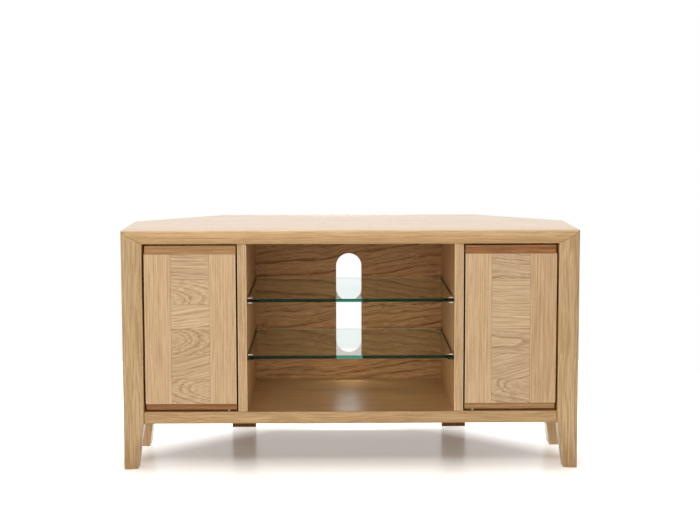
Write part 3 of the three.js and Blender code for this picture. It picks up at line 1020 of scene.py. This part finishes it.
def make_clips():
    """Clips whose plates and lower jaws are dark bronze as painted shade. The upper front clips'
    lower jaws keep the nickel as a painted highlight."""
    low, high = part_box("lower_right_front_clip")
    clip = board("clip", low, high)
    mouth = board(
        "mouth",
        (low.x - OVERRUN, low.y - OVERRUN, low.z + CLIP_JAW),
        (high.x - CLIP_PLATE, high.y + OVERRUN, high.z - CLIP_JAW),
    )
    round_over(
        clip,
        lambda a, b: near(a.x, low.x) and near(b.x, low.x) and near(a.y, b.y),
        CLIP_TIP,
        CLIP_TIP_STEPS,
    )
    carve(clip, mouth)
    ease(clip, METAL_ARRIS)
    plate = high.x - CLIP_PLATE
    saw(clip, (plate, 0, 0), (1, 0, 0), score=True)
    jaw = low.z + CLIP_JAW
    # Painted shade: the lower jaw and the plate are dark bronze
    line_with(
        clip,
        nickel,
        (bronze, lambda face: face.center.z < jaw),
        (bronze, lambda face: face.center.x > plate),
    )
    for level in LEVELS:
        for side in SIDES:
            for end in ("front", "rear"):
                node = f"{level}_{side}_{end}_clip"
                twin_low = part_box(node.replace("left", "right"))[0]
                piece = copied(clip, twin_low - low)
                # The rear clips take the shade-painted nickel; the upper front ones' lower jaws
                # take plain nickel as a painted highlight
                if end == "rear":
                    piece.data.materials[0] = nickel_shaded
                elif level == "upper":
                    piece.data.materials[1] = nickel
                if side == "left":
                    right = piece
                    piece = mirrored(right)
                    bpy.data.objects.remove(right)
                dress(piece, f"{node}_nickel", node, nickel)
    bpy.data.objects.remove(clip)


# Doors


def make_doors():
    core = board("core", *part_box("right_door_core"))
    ease(core, SANDED_ARRIS)
    stile_low, stile_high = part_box("right_door_outer_stile")
    for height in (stile_low.z, stile_high.z):
        saw(core, (0, 0, height), (0, 0, 1), score=True)
    outer = board("outer", stile_low, stile_high)
    inner = board("inner", *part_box("right_door_inner_stile"))
    for stile in (outer, inner):
        low, high = Vector(stile.bound_box[0]), Vector(stile.bound_box[6])
        free = high.x if stile == outer else low.x
        round_over(
            stile,
            lambda a, b: all(near(end.x, free) and near(end.y, low.y) for end in (a, b)),
            DOOR_ARRIS,
            DOOR_ARRIS_STEPS,
        )
        ease(stile, GLUED_ARRIS, steps=1)
    # Painted shade on the stiles' edges and on the facets into the gaps, painted highlight on the
    # inner stile's front arris
    edge_on = (edge_shade_oak, lambda face: abs(face.normal.x) > TURNED_ASIDE)
    line_with(outer, stile_oak, edge_on)
    line_with(inner, stile_oak, edge_on, (arris_highlight_oak, is_front_arris), (gap_shade_oak, is_in_gap))
    pairs = {"right": (core, outer, inner), "left": tuple(map(mirrored, (core, outer, inner)))}
    for side, (core, outer, inner) in pairs.items():
        sign = SIDES[side]
        for piece in (core, outer):
            cutters = (leaf_cutter(f"{side}_{level}_hinge_door_leaf", -sign) for level in LEVELS)
            carve(piece, *cutters)
        magnet_low, magnet_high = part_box(f"{side}_door_magnet")
        middle = (magnet_low + magnet_high) / 2
        radius = (magnet_high.x - magnet_low.x) / 2 + JOINT_GAP
        hole_end = magnet_high.z + JOINT_GAP
        carve(core, rod("hole", radius, middle, magnet_low.z - OVERRUN, hole_end))
        # Painted shade in the grips, redder on the right door's upper grip and on the left door's
        # lower one, and darkest on the core's edges
        grip = stile_high.z if side == "right" else stile_low.z
        line_with(
            core,
            core_shade_oak,
            (core_red_shade_oak, lambda face: (face.center.z - grip) * sign > 0 and face.normal.y < OFF_BACK),
            (core_edge_shade_oak, lambda face: abs(face.normal.y) < EDGE_ON),
        )
        dress(core, f"{side}_door_core_oak", f"{side}_door_core", core_shade_oak)
        for piece, part in ((outer, "outer_stile"), (inner, "inner_stile")):
            node = f"{side}_door_{part}"
            dress(piece, f"{node}_oak", node, stile_oak)


def make_blocks():
    low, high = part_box("right_door_block_1")
    pattern = board("block", low, high)
    ease(pattern, GLUED_ARRIS, steps=1)
    for side in SIDES:
        for i in range(BLOCK_COUNT):
            node = f"{side}_door_block_{i + 1}"
            block = copied(pattern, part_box(node)[0] - low)
            dress(block, f"{node}_oak", node, block_oak)
    bpy.data.objects.remove(pattern)


# Hinges and catches


def knuckle(low, high):
    barrel = rod("barrel", KNUCKLE_RADIUS, hinge_axis, low, high)
    ease(barrel, METAL_ARRIS / 2, steps=1)
    return barrel


def make_leaf(node, outward):
    """One leaf with its knuckles: the frame leaf has the first, third and fifth."""
    low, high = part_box(node)
    seat = high.x if outward > 0 else low.x
    xs = sorted((seat, seat - outward * LEAF_THICKNESS))
    front = high.y - LEAF_DEPTH
    plate = board("plate", (xs[0], front, low.z), (xs[1], high.y, high.z))
    ease(plate, METAL_ARRIS, steps=1)
    parts = []
    pitch = (high.z - low.z) / KNUCKLE_COUNT
    for i in range(0 if outward > 0 else 1, KNUCKLE_COUNT, 2):
        foot = low.z + i * pitch + JOINT_GAP / 2
        head = low.z + (i + 1) * pitch - JOINT_GAP / 2
        parts.append(knuckle(foot, head))
        xs = sorted((hinge_axis.x, seat - outward * LEAF_THICKNESS / 2))
        web = board("web", (xs[0], front, foot), (xs[1], front + LEAF_THICKNESS, head))
        parts.append(web)
    return joined(plate, *parts)


def make_pin():
    """A pin that is narrow inside the knuckles and as wide as they are at its two heads."""
    pin = rod("pin", KNUCKLE_RADIUS, hinge_axis, pin_low.z, pin_high.z)
    saw(pin, (0, 0, pin_low.z + PIN_HEAD), (0, 0, 1), score=True)
    saw(pin, (0, 0, pin_high.z - PIN_HEAD), (0, 0, 1), score=True)
    middle = (pin_low.z + pin_high.z) / 2
    half_shank = (pin_high.z - pin_low.z) / 2 - PIN_HEAD
    with editing(pin):
        choose(pin, "FACE", lambda face: abs(face.calc_center_median().z - middle) < half_shank)
        bpy.ops.mesh.extrude_region_shrink_fatten(
            TRANSFORM_OT_shrink_fatten={"value": -(KNUCKLE_RADIUS - PIN_RADIUS)}
        )
    ease(pin, METAL_ARRIS)
    return pin


def make_screw(radius):
    """A countersunk screw's head with a cross recess, facing up at the origin."""
    head = rod("screw", radius, (0, 0), -SCREW_SINK * radius, SCREW_RISE, SCREW_STEPS)
    ease(head, SCREW_RISE * SCREW_ARRIS_SHARE)
    for length, width in ((RECESS_LENGTH, RECESS_WIDTH), (RECESS_WIDTH, RECESS_LENGTH)):
        arm = board(
            "arm",
            (-length * radius / 2, -width * radius / 2, -RECESS_DEPTH * radius),
            (length * radius / 2, width * radius / 2, radius),
        )
        carve(head, arm)
    return head


def place_screw(pattern, name, node, place, way, slot):
    screw = copied(pattern)
    turn = Vector(way).to_track_quat("Z", "Y").to_matrix().to_4x4()
    screw.data.transform(Matrix.Translation(place) @ turn)
    dress(screw, name, node, SCREW_METALS[slot], stands=False)


def make_hinges():
    leaf_screw = make_screw(LEAF_SCREW_RADIUS)
    patterns = {
        "frame_leaf": make_leaf("right_upper_hinge_frame_leaf", 1),
        "door_leaf": make_leaf("right_upper_hinge_door_leaf", -1),
        "pin": make_pin(),
    }
    for part, pattern in patterns.items():
        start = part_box(f"right_upper_hinge_{part}")[0]
        for level in LEVELS:
            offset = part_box(f"right_{level}_hinge_{part}")[0] - start
            right = copied(pattern, offset)
            for side, piece in (("right", right), ("left", mirrored(right))):
                node = f"{side}_{level}_hinge_{part}"
                dress(piece, f"{node}_bronze", node, bronze)
                if part != "pin":
                    outward = SIDES[side] if part == "frame_leaf" else -SIDES[side]
                    add_leaf_screws(leaf_screw, node, outward)
        bpy.data.objects.remove(pattern)
    bpy.data.objects.remove(leaf_screw)


def add_leaf_screws(pattern, node, outward):
    """Three screws in each leaf, in a shallow zigzag, facing into the gap beside the door."""
    low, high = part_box(node)
    face = (high.x - LEAF_THICKNESS) if outward > 0 else (low.x + LEAF_THICKNESS)
    for i, (height, depth) in enumerate(zip(LEAF_SCREW_HEIGHTS, LEAF_SCREW_DEPTHS)):
        place = (face, high.y - LEAF_DEPTH * depth, low.z + height * (high.z - low.z))
        way = (-outward, 0, 0)
        place_screw(pattern, f"{node}_screw_{i + 1}", node, place, way, "dark_bronze")


def make_catches():
    """A round magnet in each door, and a steel strike with a shank in the base below it."""
    for side in SIDES:
        for part in ("door_magnet", "catch_strike"):
            node = f"{side}_{part}"
            low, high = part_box(node)
            middle = (low + high) / 2
            radius = (high.x - low.x) / 2
            foot = low.z if part == "door_magnet" else base_high.z + JOINT_GAP
            disc = rod("disc", radius, middle, foot, high.z, CATCH_STEPS)
            ease(disc, METAL_ARRIS)
            if part == "catch_strike":
                shank = rod("shank", STRIKE_SHANK_RADIUS, middle, low.z, foot + JOINT_GAP)
                disc = joined(disc, shank)
            dress(disc, f"{node}_steel", node, bright)


def add_back_screws():
    """Screws that hold the back panel and the rear legs, seen from behind only."""
    pattern = make_screw(BACK_SCREW_RADIUS)
    leg_low, leg_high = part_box("right_rear_leg")
    edge = BACK_SCREW_EDGE
    places = []
    for share in BACK_SCREW_ACROSS:
        x = share * back_low.x
        if not leg_low.x <= abs(x) <= leg_high.x:
            places.append((x, back_high.y, back_high.z - edge))
            places.append((x, back_high.y, back_low.z + edge))
    for sign in SIDES.values():
        for share in BACK_SCREW_HEIGHTS:
            z = back_low.z + share * (back_high.z - back_low.z)
            places.append((sign * (back_high.x - 2 * edge), back_high.y, z))
    for i, place in enumerate(places):
        name = f"back_screw_{i + 1}"
        place_screw(pattern, name, "back_panel", place, BACKWARD, "satin_nickel")
    for side in SIDES:
        node = f"{side}_rear_leg"
        low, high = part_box(node)
        for i, share in enumerate(LEG_SCREW_HEIGHTS):
            place = ((low.x + high.x) / 2, high.y, low.z + share * (high.z - low.z))
            place_screw(pattern, f"{node}_screw_{i + 1}", node, place, BACKWARD, "satin_nickel")
    bpy.data.objects.remove(pattern)


# Studio

ROOM_LIGHT = 0.32
BACKDROP_LIGHT = 1.0
BACKDROP_BLUR = 0.3  # of a ray's way, to each side of the edge between room and backdrop

# The floor glows a little near the cabinet, and up to white over these distances from the
# cabinet's middle, in metres
FLOOR_RADIUS = 1.5
FLOOR_STEPS = 64
FLOOR_LIFT = 0.07
WHITE_AHEAD = (0.0, 0.62)
WHITE_ASIDE = (0.5, 0.68)
WHITE_PAST_CUT = (0.3, 0.66)
WHITE_BEHIND = (0.22, 0.45)
FLOOR_SEEN = "#FFF6E9"
FLOOR_BOUNCED = "#96928C"
FLOOR_ROUGHNESS = 0.22

# Each softbox's place, aim and size in metres, its watts, and whether the lacquer mirrors it.
# The front one isn't mirrored, because its image would lie on the doors as a pale veil.
SOFTBOXES = (
    ("overhead_softbox", (-0.1, 0.5, 2.6), (0, 0.1, 0.3), (3.0, 2.0), 25, True),
    ("front_softbox", (-0.35, -3.2, 0.95), (0, 0, 0.3), (2.6, 1.5), 51, False),
    ("high_softbox", (-0.3, -1.7, 2.1), (0, -0.2, 0.4), (2.2, 0.8), 13, True),
)

# Each slot spot's place across and its watts
SLOT_SPOTS = {
    "left_slot_spot": (-0.5, 46),
    "middle_slot_spot": (-0.02, 95),
    "right_slot_spot": (0.46, 44),
}
SPOT_DEPTH = 0.7
SPOT_HEIGHT = 1.42
SPOT_AIM_HEIGHT = 0.24
SPOT_CONE = math.radians(14)
SPOT_RADIUS = 0.14
SPOT_COLOUR = (0.78, 0.92, 1)


def add_camera():
    data = bpy.data.cameras.new("photo_camera")
    data.sensor_width = SENSOR_MM
    data.lens = FOCAL_PIXELS / PHOTO_WIDTH * SENSOR_MM
    camera = bpy.data.objects.new("photo_camera", data)
    bpy.context.scene.collection.objects.link(camera)
    turn = (
        Matrix.Rotation(-CAMERA_YAW, 4, "Z")
        @ Matrix.Rotation(math.pi / 2 - CAMERA_PITCH, 4, "X")
        @ Matrix.Rotation(CAMERA_ROLL, 4, "Z")
    )
    camera.matrix_world = Matrix.Translation(CAMERA_PLACE) @ turn
    bpy.context.scene.camera = camera


def seen_directly(add):
    """Adds nodes that pick out the rays by which the camera sees a surface, straight or by
    mirror or glass."""
    eye = add("LightPath")
    rays = eye.outputs["Is Camera Ray"]
    for kind in ("Is Glossy Ray", "Is Transmission Ray"):
        rays = add("Math", {0: rays, 1: eye.outputs[kind]}, operation="MAXIMUM")
    return rays


def add_floor():
    """A pale floor that takes the cabinet's shadow and glows up to white away from it. What it
    throws back onto the legs is greyer than what the camera sees."""
    bpy.ops.object.select_all(action="DESELECT")
    bpy.ops.mesh.primitive_circle_add(
        vertices=FLOOR_STEPS, radius=FLOOR_RADIUS, fill_type="NGON"
    )
    floor = bpy.context.object
    floor.name = "studio_floor"
    material, add = new_material("studio_floor_paint")
    place = add("TexCoord").outputs["Object"]
    axes = add("SeparateXYZ", {0: place}).outputs
    ahead = add("Math", {0: axes["Y"], 1: -1}, operation="MULTIPLY")
    aside = add("Math", {0: axes["X"]}, operation="ABSOLUTE")
    past_cut = add("Math", {0: aside, 1: axes["Y"]})
    lift = FLOOR_LIFT
    for value, (start, end) in (
        (ahead, WHITE_AHEAD),
        (aside, WHITE_ASIDE),
        (past_cut, WHITE_PAST_CUT),
        (axes["Y"], WHITE_BEHIND),
    ):
        rise = add(
            "MapRange",
            {"Value": value, "From Min": start, "From Max": end},
            interpolation_type="SMOOTHSTEP",
        )
        lift = add("Math", {0: rise, 1: lift}, operation="MAXIMUM")
    seen = seen_directly(add)
    glow = add("Math", {0: seen, 1: lift}, operation="MULTIPLY")
    colour = add(
        "Mix",
        {FACTOR: seen, COLOUR_A: linear(FLOOR_BOUNCED), COLOUR_B: linear(FLOOR_SEEN)},
        data_type="RGBA",
    ).outputs[MIXED]
    paint = add("BsdfDiffuse", {"Color": colour})
    gloss = add("BsdfGlossy", {"Roughness": FLOOR_ROUGHNESS})
    edge_on = add("Fresnel", {"IOR": 1.45})
    paint = add("MixShader", {0: edge_on, 1: paint, 2: gloss})
    light = add("Emission", {"Color": (1, 1, 1, 1), "Strength": glow})
    both = add("AddShader", {0: paint, 1: light})
    add("OutputMaterial", {"Surface": both})
    floor.data.materials.append(material)


def add_world():
    """A white backdrop behind the object and a dim room in front of it. The camera sees white
    all round."""
    world = bpy.data.worlds.new("studio")
    bpy.context.scene.world = world
    add = start_nodes(world)
    way = add("TexCoord").outputs["Generated"]
    backwards = add("SeparateXYZ", {0: way}).outputs["Y"]
    room = add(
        "MapRange",
        {
            "Value": backwards,
            "From Min": -BACKDROP_BLUR,
            "From Max": BACKDROP_BLUR,
            "To Min": ROOM_LIGHT,
            "To Max": BACKDROP_LIGHT,
        },
        interpolation_type="SMOOTHSTEP",
    )
    strength = add("Math", {0: room, 1: seen_directly(add)}, operation="MAXIMUM")
    sky = add("Background", {"Color": (1, 1, 1, 1), "Strength": strength})
    add("OutputWorld", {"Surface": sky})


def add_softbox(name, place, aim, size, power, mirrored_in_lacquer):
    data = bpy.data.lights.new(name, "AREA")
    data.shape = "RECTANGLE"
    data.size = size[0]
    data.size_y = size[1]
    data.energy = power
    hang_lamp(data, place, aim).visible_glossy = mirrored_in_lacquer


def add_slot_spot(name, x, power):
    """A soft spot above and behind. The three of them lay a pool of light on the base, just
    inside the cable slot. None has a mirror image."""
    data = bpy.data.lights.new(name, "SPOT")
    data.spot_size = SPOT_CONE
    data.color = SPOT_COLOUR
    data.spot_blend = 1
    data.shadow_soft_size = SPOT_RADIUS
    data.energy = power
    aim = (0, back_low.y, SPOT_AIM_HEIGHT)
    hang_lamp(data, (x, SPOT_DEPTH, SPOT_HEIGHT), aim).visible_glossy = False


def hang_lamp(data, place, aim):
    lamp = bpy.data.objects.new(data.name, data)
    bpy.context.scene.collection.objects.link(lamp)
    way = (Vector(aim) - Vector(place)).to_track_quat("-Z", "Y")
    lamp.matrix_world = Matrix.Translation(place) @ way.to_matrix().to_4x4()
    return lamp


add_camera()
make_front_posts()
make_top_rail()
make_side_posts()
make_top()
make_base()
make_back()
make_plain_pairs()
make_dividers()
make_shelves()
make_clips()
make_doors()
make_blocks()
make_hinges()
make_catches()
add_back_screws()
add_floor()
add_world()
for softbox in SOFTBOXES:
    add_softbox(*softbox)
for name, (x, power) in SLOT_SPOTS.items():
    add_slot_spot(name, x, power)

view = bpy.context.scene.view_settings
view.view_transform = "Standard"
